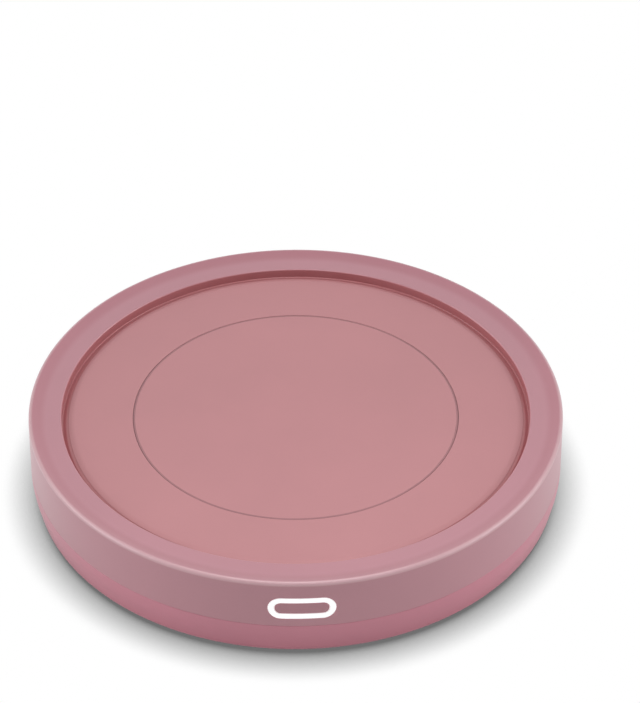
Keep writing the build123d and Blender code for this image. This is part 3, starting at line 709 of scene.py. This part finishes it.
def coil_tree(name):
    """Coil of flat wire that stands between two heights."""
    tree, given, out = shape_group(name, {
        "Turns": 2.0, "Radius": 7 * MM, "Base": 3 * MM, "Rise": 12 * MM,
        "Wire Width": 0.9 * MM, "Wire Height": 0.7 * MM})
    coil = output(tree, "GeometryNodeCurveSpiral", {
        "Resolution": 72, "Rotations": given["Turns"], "Start Radius": given["Radius"],
        "End Radius": given["Radius"], "Height": given["Rise"]})
    upright = output(tree, "GeometryNodeSetCurveNormal", {"Curve": coil}, mode="Z_UP")
    section = output(tree, "GeometryNodeCurvePrimitiveQuadrilateral", {
        "Width": given["Wire Height"], "Height": given["Wire Width"]})
    soft = output(tree, "GeometryNodeFilletCurve", {
        "Curve": section, "Radius": 0.18 * MM, "Count": 4}, mode="POLY")
    wire = output(tree, "GeometryNodeCurveToMesh", {
        "Curve": upright, "Profile Curve": soft, "Fill Caps": True})
    lift = vector(tree, 0.0, 0.0, given["Base"])
    placed = output(tree, "GeometryNodeTransform", {"Geometry": wire, "Translation": lift})
    return ended(tree, placed, given, out)


def ended(tree, shape, given, out):
    """Ends a tree: plain geometry with its material."""
    plain = output(tree, "GeometryNodeRealizeInstances", {0: shape})
    feed(tree, out, Geometry=output(tree, "GeometryNodeSetMaterial", {
        "Geometry": plain, "Material": given["Material"]}))
    return tree


GROUP_MAKERS = {
    "Moulded Grain": grain_group, "Ring Band": band_group, "Drawn Metal": brushed_group,
    CIRCLE: circle_tree, CORNERS: corners_tree, COIL: coil_tree}


def grown(piece, name, **values):
    """Runs a geometry node tree on a piece, and keeps the mesh that it makes."""
    tree = kept_group(name)
    tool = piece.modifiers.new(name, "NODES")
    tool.node_group = tree
    for item in tree.interface.items_tree:
        if item.in_out == "INPUT" and item.name in values:
            tool[item.identifier] = values[item.name]
    return applied(piece)


def at_corners(piece, **values):
    """Copies of a piece at the four screws."""
    return grown(piece, CORNERS, Width=BOSS_SPAN[0], Depth=BOSS_SPAN[1], **values)


def at_feet(piece, **values):
    """Copies of a piece at the four feet."""
    return grown(piece, CIRCLE, Count=4, Radius=FOOT_AT, Start=pi / 4, **values)


def at_posts(piece):
    """Copies of a piece at the three guide posts."""
    shift(piece, (POST_AT, 0, 0))
    return grown(piece, CIRCLE, Count=3, Radius=TURN_ONLY, Start=pi / 2)


# ---- pieces
OPERATORS = []


def operator(identifier, label):
    """Names an operator class, and lists it."""
    def name(kind):
        kind.bl_idname = identifier
        kind.bl_label = label
        kind.bl_options = {"REGISTER", "UNDO"}
        OPERATORS.append(kind)
        return kind
    return name


@operator("warmer.top_cover", "Top Cover")
class WARMER_OT_top_cover(bpy.types.Operator):
    """Upper moulding: rounded lip, hollow slope, flat land, drip channel and deck seat"""

    def execute(self, context):
        s = context.scene.warmer_sizes
        radius, top = s.body_radius, TOP_BOX[1].z
        inner = radius - s.wall
        lap = radius - s.wall / 2 + s.lap_gap / 2
        lap_top = s.seam_height + s.lap_height + s.lap_gap
        land_in, seat_out = radius - s.land_width, radius - s.seat_width
        roof = s.land_height - s.wall
        channel_top = s.channel_height + s.channel_rise
        knee_in, knee_round, knee_share = *mm(0.9, 0.8), 0.8    # end of the channel's steep part
        shell = turned("top_cover_moulding", [
            (lap, s.seam_height), (radius, s.seam_height, s.seam_round),
            (radius, top, s.lip_round), *lip_slope(s, top),
            (land_in, s.land_height, s.land_round), (land_in, s.channel_height, s.fine_round),
            (land_in - knee_in, s.channel_height + knee_share * s.channel_rise, knee_round),
            (seat_out, channel_top), (seat_out, s.seat_height),
            (s.seat_opening, s.seat_height), (s.seat_opening, s.seat_under),
            (s.step_radius, s.seat_under, s.fine_round), (s.step_radius, roof, s.fine_round),
            (inner, roof, s.fine_round), (inner, lap_top), (lap, lap_top)])
        boss_radius, pilot_top, rib_half, rib_depth = mm(3.5, 10.9, 0.6, 5)
        boss = rod("bosses", boss_radius, FLOOR_Z, s.seat_under + OVERLAP)
        rib = block("ribs", (s.step_radius - OVERLAP, -rib_half, roof - rib_depth),
                    (inner + OVERLAP, rib_half, roof + OVERLAP))
        pad = middle_block("pad", half=9.5 * MM, front=-inner - OVERLAP, back=-inner + MM,
                           low=lap_top, high=roof + OVERLAP)
        holder = middle_block("holder", half=MM, front=52.1 * MM, back=s.step_radius,
                              low=SOCKET_BOX[1].z + 0.1 * MM, high=s.seat_under + OVERLAP)
        extras = joined([
            at_corners(boss), grown(rib, CIRCLE, Count=6, Radius=TURN_ONLY), pad, holder])
        combine(shell, [extras], "UNION")
        pilots = at_corners(rod("pilots", PILOT_RADIUS, FLOOR_Z - PAST, pilot_top))
        combine(shell, [pilots, button_opening(s), socket_hole(s)], "DIFFERENCE")
        fitted(shell, "housing", "top_cover", "cover pink")
        return {"FINISHED"}


def lip_slope(s, top):
    """Corners of the hollow slope from the crest of the lip down to the land."""
    crest_flat = 0.05 * MM
    crest, drop = s.body_radius - s.lip_round - crest_flat, top - s.land_height
    shares = [k / SLOPE_STEPS for k in range(SLOPE_STEPS + 1)]
    return [(crest - s.slope_width * share, s.land_height + drop * (1 - share) ** 2)
            for share in shares]


def button_opening(s):
    """Cutter for the light ring's hole in the front wall, with a fine bevel at the outside."""
    clearance, ease, behind = mm(0.1, 0.06, 0.5)
    width, height = RING_WIDTH + clearance, RING_HEIGHT + clearance
    hole, wide = stadium(width, height), stadium(width + 2 * ease, height + 2 * ease)
    return lofted("opening", [
        wrapped(wide, s.body_radius + PAST), wrapped(wide, s.body_radius),
        wrapped(hole, s.body_radius - ease), flat(hole, RING_BOX[1].y - behind)])


def socket_hole(s):
    """Cutter for the socket's hole in the rear wall, half in each moulding."""
    hole, ease, depth = mm(4.1, 0.15, 2)
    low, mouth = SOCKET_BOX[1].y - depth, s.body_radius + PAST
    wall_y = sqrt(s.body_radius ** 2 - hole ** 2)
    return turned("hole", [
        (0, low), (hole, low), (hole, wall_y - ease), (hole + ease, wall_y),
        (hole + ease, mouth), (0, mouth)], SMALL_TURNS, SOCKET_PLACE)


@operator("warmer.base_cover", "Base Cover")
class WARMER_OT_base_cover(bpy.types.Operator):
    """Lower moulding: tucked-in wall, vents, posts, board rests and socket cradle"""

    def execute(self, context):
        s = context.scene.warmer_sizes
        radius = s.body_radius
        inner, under = radius - s.wall, radius - s.base_tuck
        lap = radius - s.wall / 2 - s.lap_gap / 2
        lap_top = s.seam_height + s.lap_height
        inner_bend, low = 8.6 * MM, BASE_Z - PAST
        shell = turned("base_cover_moulding", [
            (0, BASE_Z), (under - s.edge_bevel, BASE_Z, s.edge_round),
            (under, BASE_Z + s.edge_bevel, s.edge_round), (radius, s.bend_height, s.bend_round),
            (radius, s.seam_height, s.seam_round), (lap, s.seam_height), (lap, lap_top),
            (inner, lap_top), (inner, inner_bend), (under - s.wall, FLOOR_Z), (0, FLOOR_Z)])
        foot = FLOOR_Z - OVERLAP
        extras = [
            at_posts(rod("posts", radius=3 * MM, low=foot, high=11 * MM, ease=0.2 * MM)),
            rod("spigot", radius=6.05 * MM, low=foot, high=5.3 * MM, ease=0.3 * MM),
            middle_block("cradle", half=6.1 * MM, front=52.6 * MM, back=60.6 * MM,
                         low=foot, high=8.8 * MM), *board_rests(), *board_hooks()]
        combine(shell, [joined(extras)], "UNION")
        head_hole, head_depth, hole_top = mm(2.9, 1.1, 4)
        seat_z = BASE_Z + head_depth
        screw_hole = turned("screw_holes", [
            (0, low), (head_hole, low), (head_hole, seat_z), (PILOT_RADIUS, seat_z),
            (PILOT_RADIUS, hole_top), (0, hole_top)], SMALL_TURNS)
        cuts = joined([
            at_posts(rod("bores", radius=1.55 * MM, low=4.5 * MM, high=12 * MM)),
            at_corners(screw_hole),
            at_feet(rod("recesses", radius=5.7 * MM, low=low, high=BASE_Z + 0.8 * MM)), vents()])
        space = middle_block("space", half=4.6 * MM, front=50.5 * MM, back=62.7 * MM,
                             low=5.6 * MM, high=14 * MM)
        combine(shell, [cuts, space, socket_hole(s)], "DIFFERENCE")
        fitted(shell, "housing", "base_cover", "base pink")
        return {"FINISHED"}


def vents():
    """Cutter of twelve round-ended slots, flared at the underside."""
    long, narrow, ease, at = mm(8, 1.8, 0.25, 17)
    slot, wide = [stadium(long + more, narrow + more, 8, 2) for more in (0, 2 * ease)]
    levels = [(wide, BASE_Z - PAST), (wide, BASE_Z), (slot, BASE_Z + ease), (slot, FLOOR_Z + PAST)]
    piece = lofted("vents", [[Vector((x, y, z)) for x, y in loop] for loop, z in levels])
    shift(piece, (at, 0, 0))
    return grown(piece, CIRCLE, Count=12, Radius=TURN_ONLY, Start=pi / 12)


def board_rests():
    """Square pads under the main board."""
    half, top, side_x, side_y, arc = mm(2.5, 4, 36, -27, 55)
    front = [(arc * cos(radians(a)), arc * sin(radians(a))) for a in (251, 289)]
    return [block("rest", (x - half, y - half, FLOOR_Z - OVERLAP), (x + half, y + half, top))
            for x, y in [(-side_x, side_y), (side_x, side_y)] + front]


def board_hooks():
    """Springy hooks that snap over the board's straight sides."""
    made = []
    face, thick, barb, foot, ledge, top, front, back = mm(41.1, 1.2, 0.8, 2.6, 5.7, 6.9, -37, -31)
    profile = [(face, foot), (face + thick, foot), (face + thick, top), (face, top),
               (face - barb, ledge), (face, ledge)]
    for side in (-1, 1):
        bm = bmesh.new()
        loops = [[bm.verts.new((side * x, y, z)) for x, z in profile] for y in (front, back)]
        for k in range(len(profile)):
            bm.faces.new((loops[0][k], loops[0][k - 1], loops[1][k - 1], loops[1][k]))
        for loop in loops:
            bm.faces.new(loop)
        made.append(mesh_object("hook", bm))
    return made


@operator("warmer.deck", "Deck Panel")
class WARMER_OT_deck(bpy.types.Operator):
    """Flat ring-shaped deck that drops into its seat"""

    def execute(self, context):
        s = context.scene.warmer_sizes
        low, high = DECK_BOX[0].z, DECK_BOX[1].z
        outer, inner = DECK_BOX[1].x, s.deck_opening
        outer_ease, inner_ease = mm(0.1, 0.06)
        deck = turned("deck_panel_moulding", [
            (inner, low), (outer, low, outer_ease), (outer, high - s.deck_fall, outer_ease),
            (outer - s.deck_shoulder, high, s.deck_round), (inner, high, inner_ease)])
        fitted(deck, "housing", "deck_panel", "deck pink")
        return {"FINISHED"}


@operator("warmer.warm_plate", "Warm Plate and Seal")
class WARMER_OT_warm_plate(bpy.types.Operator):
    """Coated plate with its thin silicone band"""

    def execute(self, context):
        radius, low, high = PLATE_BOX[1].x, PLATE_BOX[0].z, PLATE_BOX[1].z
        under_ease, ease, band_more, band_drop = mm(0.1, 0.08, 0.12, 0.03)
        plate = turned("warm_plate_coated", [
            (0, low), (radius, low, under_ease), (radius, high, ease), (0, high)])
        fitted(plate, "plate", "warm_plate", "plate coating")
        outer, low, top = SEAL_BOX[1].x + band_more, SEAL_BOX[0].z, high - band_drop
        band = turned("plate_seal_band", [
            (radius, low), (outer, low, ease), (outer, top, ease), (radius, top)])
        fitted(band, "plate", "plate_seal", "seal silicone")
        return {"FINISHED"}


@operator("warmer.light_ring", "Light Ring and Button")
class WARMER_OT_light_ring(bpy.types.Operator):
    """Lit ring in the front wall with the push button inside it"""

    def execute(self, context):
        s = context.scene.warmer_sizes
        ease, flange_depth, flange_side, flange_up = mm(0.12, 1, 1.8, 1.4)
        soft, line, back_y = ease * 0.3, RING_LINE, RING_BOX[1].y

        def oval(inset):
            return stadium(RING_WIDTH - 2 * inset, RING_HEIGHT - 2 * inset)

        def front(inset, depth=0.0):
            """Loop on the wall, drawn in by an inset and sunk by a depth."""
            return wrapped(oval(inset), s.body_radius - depth)

        flange = stadium(RING_WIDTH + flange_side, RING_HEIGHT + flange_up)
        ring = lofted("light_ring_guide", [
            flat(flange, back_y), flat(flange, back_y - flange_depth),
            flat(oval(0), back_y - flange_depth), front(0, ease), front(soft, soft), front(ease),
            front(line / 2), front(line - ease), front(line - soft, soft), front(line, ease),
            flat(oval(line), back_y)], hollow=True)
        fitted(ring, "housing", "light_ring", "light diffuser")

        gap, root = line + 0.15 * MM, back_y + 0.2 * MM
        button = lofted("power_button_island", [
            front(gap + ease), front(gap + soft, soft), front(gap, ease), flat(oval(gap), root)])
        flap = middle_block("flap", half=4.8 * MM, front=back_y, back=BUTTON_BOX[1].y,
                            low=BUTTON_BOX[0].z, high=BUTTON_BOX[1].z, bevel=0.1 * MM)
        combine(button, [flap], "UNION")
        fitted(button, "button", "power_button", "button pink")
        return {"FINISHED"}


@operator("warmer.feet", "Rubber Feet")
class WARMER_OT_feet(bpy.types.Operator):
    """Four round feet with a grip groove, pressed into the underside"""

    def execute(self, context):
        low, high = FEET_BOX[0].z, FEET_BOX[1].z
        sunk, ease, fine, tread_ease, top_ease = low + 0.25 * MM, *mm(0.2, 0.08, 0.35, 0.1)
        hollow, inner, outer, groove_in, groove_out, rim = mm(2.0, 2.4, 3.4, 3.7, 4.1, 4.4)
        foot = turned("rubber_feet_pads", [
            (0, sunk), (hollow, sunk, ease), (inner, low, ease), (outer, low, ease),
            (groove_in, sunk, fine), (groove_out, sunk, fine), (rim, low, ease),
            (FOOT_RADIUS, low, tread_ease), (FOOT_RADIUS, high, top_ease), (0, high)],
            SMALL_TURNS)
        at_feet(foot, Material=finish("foot rubber"))
        fitted(foot, "housing", "rubber_feet", "foot rubber")
        return {"FINISHED"}


@operator("warmer.screws", "Housing Screws")
class WARMER_OT_screws(bpy.types.Operator):
    """Four self-tapping screws with crossed recesses"""

    def execute(self, context):
        low, high = SCREWS_BOX[0].z, SCREWS_BOX[1].z
        crown, rim, shank, thread, pitch, tip = mm(2.0, 0.45, 0.95, 1.2, 1.1, 0.3)
        neck = low + 1.0 * MM
        outline = [(0, low), (crown, low, 0.5 * MM), (HEAD_RADIUS, low + rim, 0.2 * MM),
                   (HEAD_RADIUS, neck, 0.05 * MM), (shank, neck)]
        z = neck + 0.2 * MM
        while z + pitch < high - 0.8 * MM:
            outline += [(shank, z), (thread, z + pitch / 2, 0.04 * MM)]
            z += pitch
        outline += [(shank, z), (tip, high, 0.1 * MM), (0, high)]
        screw = turned("housing_screws_set", outline, FINE_TURNS)
        arm, half, depth, ease = mm(1.5, 0.28, 0.6, 0.08)
        recess = [block("recess", (-a, -b, low - PAST), (a, b, low + depth), ease)
                  for a, b in ((arm, half), (half, arm))]
        combine(screw, recess, "DIFFERENCE")
        at_corners(screw, Material=finish("screw steel"))
        fitted(screw, "housing", "housing_screws", "screw steel")
        return {"FINISHED"}


@operator("warmer.socket", "Power Socket")
class WARMER_OT_socket(bpy.types.Operator):
    """Round power socket in the rear wall, with its centre contact"""

    def execute(self, context):
        face, inner_end = SOCKET_BOX[1].y, SOCKET_BOX[0].y
        nose_radius, pin_radius = mm(3.9, 1.05)
        bore_radius, mouth_radius, mouth_depth = mm(2.85, 3.1, 0.3)
        shoulder, bottom = face - 2 * MM, face - 9.5 * MM
        root = shoulder - 0.5 * MM
        body = middle_block("dc_socket_body", half=4.5 * MM, front=inner_end, back=shoulder,
                            low=SOCKET_BOX[0].z, high=SOCKET_BOX[1].z, bevel=0.2 * MM)
        nose = turned("nose", [
            (0, root), (nose_radius, root), (nose_radius, face, 0.25 * MM), (0, face)],
            SMALL_TURNS, SOCKET_PLACE)
        bore = turned("bore", [
            (0, bottom), (bore_radius, bottom), (bore_radius, face - mouth_depth),
            (mouth_radius, face), (mouth_radius, face + PAST), (0, face + PAST)],
            SMALL_TURNS, SOCKET_PLACE)
        combine(body, [nose], "UNION")
        combine(body, [bore], "DIFFERENCE")
        fitted(body, "housing", "dc_socket", "socket black")
        low, high = PIN_BOX[0].y, PIN_BOX[1].y
        pin = turned("socket_pin_contact", [
            (0, low), (pin_radius, low), (pin_radius, high, 0.5 * MM), (0, high)],
            FINE_TURNS, SOCKET_PLACE)
        fitted(pin, "housing", "socket_pin", "component metal")
        return {"FINISHED"}


@operator("warmer.spring", "Return Spring and Lead")
class WARMER_OT_spring(bpy.types.Operator):
    """Flat-wire spring and flat lead, which give as the plate sinks, built in one fixed shape"""

    def execute(self, context):
        low, high = SPRING_BOX[0].z, SPRING_BOX[1].z
        wire = 0.7 * MM
        spring = mesh_object("return_spring_coil", bmesh.new())
        grown(spring, COIL, Base=low + wire / 2, Rise=high - low - wire,
              Material=finish("spring steel"))
        fitted(spring, "housing", "return_spring", "spring steel")
        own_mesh(spring)
        low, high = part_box("heater_leads")
        lead = block("heater_leads_flat", low, high, 0.2 * MM)
        fitted(lead, "housing", "heater_leads", "lead rubber")
        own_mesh(lead)
        return {"FINISHED"}


KEPT_FINISHES = {
    "heater foil": "heater_film", "felt": "insulation_disc", "lamp": "button_leds",
    "lead rubber": "power_leads", "contact brass": "socket_terminals",
    "component black": "temperature_sensor button_plunger board_header weight_switch "
                       "control_chip power_transistor choke",
    "component metal": "thermal_fuse button_switch capacitor",
    "inner plastic": "plate_carrier weight_plunger power_connector heater_connector",
    "board green": "button_board circuit_board",
}


@operator("warmer.inner_parts", "Inner Parts")
class WARMER_OT_inner_parts(bpy.types.Operator):
    """Finishes of the parts inside the housing"""

    def execute(self, context):
        for look, nodes in KEPT_FINISHES.items():
            for node in nodes.split():
                painted(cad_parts[node], look)
        return {"FINISHED"}


# ---- stage
CAMERA_AT = Vector((-12.8, -692.2, 578.3)) * MM
CAMERA_AIM = Vector((6.4, 18.5, 25.4)) * MM
SHADOW_TILT = (0.0, 0.12, 0.99)         # the shadow's light comes from a little behind
SHADOW_RANGE, SHADOW_DARKEST = (0.34, 0.79), 0.16


def light_path_share(tree):
    """1 for camera, glossy and transmission rays, and 0 for the rays that light things."""
    path = add(tree, "ShaderNodeLightPath").outputs
    seen = math_node(tree, "MAXIMUM", path["Is Camera Ray"], path["Is Glossy Ray"])
    return math_node(tree, "MAXIMUM", seen, path["Is Transmission Ray"])


def floor_material(stage):
    """Pale floor that shows white, darkened softly where the object shuts out the light."""
    made, tree, shader = new_material(
        "pale floor", Roughness=0.9, Specular_IOR_Level=0.1, Base_Color=(stage.floor,) * 3 + (1.0,))
    open_sky = add(tree, "ShaderNodeAmbientOcclusion", {
        "Distance": stage.shadow_reach, "Normal": vector(tree, *SHADOW_TILT)}, samples=24)
    share = stretch(tree, open_sky.outputs["AO"], *SHADOW_RANGE, SHADOW_DARKEST, 1.0)
    mixed = output(tree, "ShaderNodeMixShader", {
        0: light_path_share(tree), 1: shader.outputs[0],
        2: output(tree, "ShaderNodeEmission", {"Strength": share})})
    feed(tree, tree.nodes["Material Output"], Surface=mixed)
    return made


def placed_lamp(name, kind, power, direction):
    """Lamp that shines from a direction."""
    made = new_object(name, bpy.data.lights.new(name, kind))
    made.data.energy = power
    made.rotation_euler = Vector(direction).to_track_quat("Z", "Y").to_euler()
    return made


@operator("warmer.stage", "Stage")
class WARMER_OT_stage(bpy.types.Operator):
    """Pale floor, soft studio light and the camera"""

    def execute(self, context):
        scene = context.scene
        stage = scene.warmer_stage
        world = bpy.data.worlds.new("Studio")
        world.use_nodes = True
        tree = world.node_tree
        background = tree.nodes["Background"]
        background.inputs["Color"].default_value = (1, 1, 1, 1)
        feed(tree, background, Strength=between(tree, light_path_share(tree), stage.sky, 1.0))
        scene.world = world

        bm = bmesh.new()
        bmesh.ops.create_grid(bm, x_segments=1, y_segments=1, size=4.0)
        floor = mesh_object("floor", bm)
        floor.data.materials.append(floor_material(stage))

        key = placed_lamp("key", "AREA", stage.key, (0.0, 0.0, 1.0))
        key.location = (0.0, -0.10, 0.32)
        key.data.size = 0.26
        key.visible_camera = False
        for name, power, angle, direction in (
                ("fill", stage.fill, 100, (0.1, 0.9, 0.8)),
                ("left", stage.side, 50, (-1.0, -0.05, 0.35)),
                ("right", stage.side, 50, (1.0, -0.05, 0.35))):
            placed_lamp(name, "SUN", power, direction).data.angle = radians(angle)

        camera = new_object("camera", bpy.data.cameras.new("camera"))
        camera.data.lens = stage.lens
        camera.data.clip_start, camera.data.clip_end = 0.05, 20.0
        camera.location = CAMERA_AT
        camera.rotation_euler = (CAMERA_AIM - CAMERA_AT).to_track_quat("-Z", "Y").to_euler()
        scene.camera = camera
        scene.view_settings.view_transform = "Standard"
        return {"FINISHED"}


# ---- panel and registration
SETTINGS = {
    "warmer_sizes": WarmerSizes, "warmer_colours": WarmerColours, "warmer_stage": WarmerStage}


class WARMER_PT_sidebar(bpy.types.Panel):
    """Pieces, sizes and colours of the mug warmer"""
    bl_label = "Mug Warmer"
    bl_idname = "WARMER_PT_sidebar"
    bl_space_type = "VIEW_3D"
    bl_region_type = "UI"
    bl_category = "Mug Warmer"

    def draw(self, context):
        for kind in OPERATORS:
            self.layout.operator(kind.bl_idname)
        for group in SETTINGS:
            box = self.layout.box()
            settings = getattr(context.scene, group)
            for key in settings.__annotations__:
                box.prop(settings, key)


def register():
    for kind in [*SETTINGS.values(), *OPERATORS, WARMER_PT_sidebar]:
        bpy.utils.register_class(kind)
    for key, group in SETTINGS.items():
        setattr(bpy.types.Scene, key, bpy.props.PointerProperty(type=group))


def unregister():
    for key in SETTINGS:
        delattr(bpy.types.Scene, key)
    for kind in [WARMER_PT_sidebar, *reversed(OPERATORS), *SETTINGS.values()]:
        bpy.utils.unregister_class(kind)


def main():
    register()
    for kind in OPERATORS:
        group, name = kind.bl_idname.split(".")
        getattr(getattr(bpy.ops, group), name)()


if __name__ == "__main__":
    main()
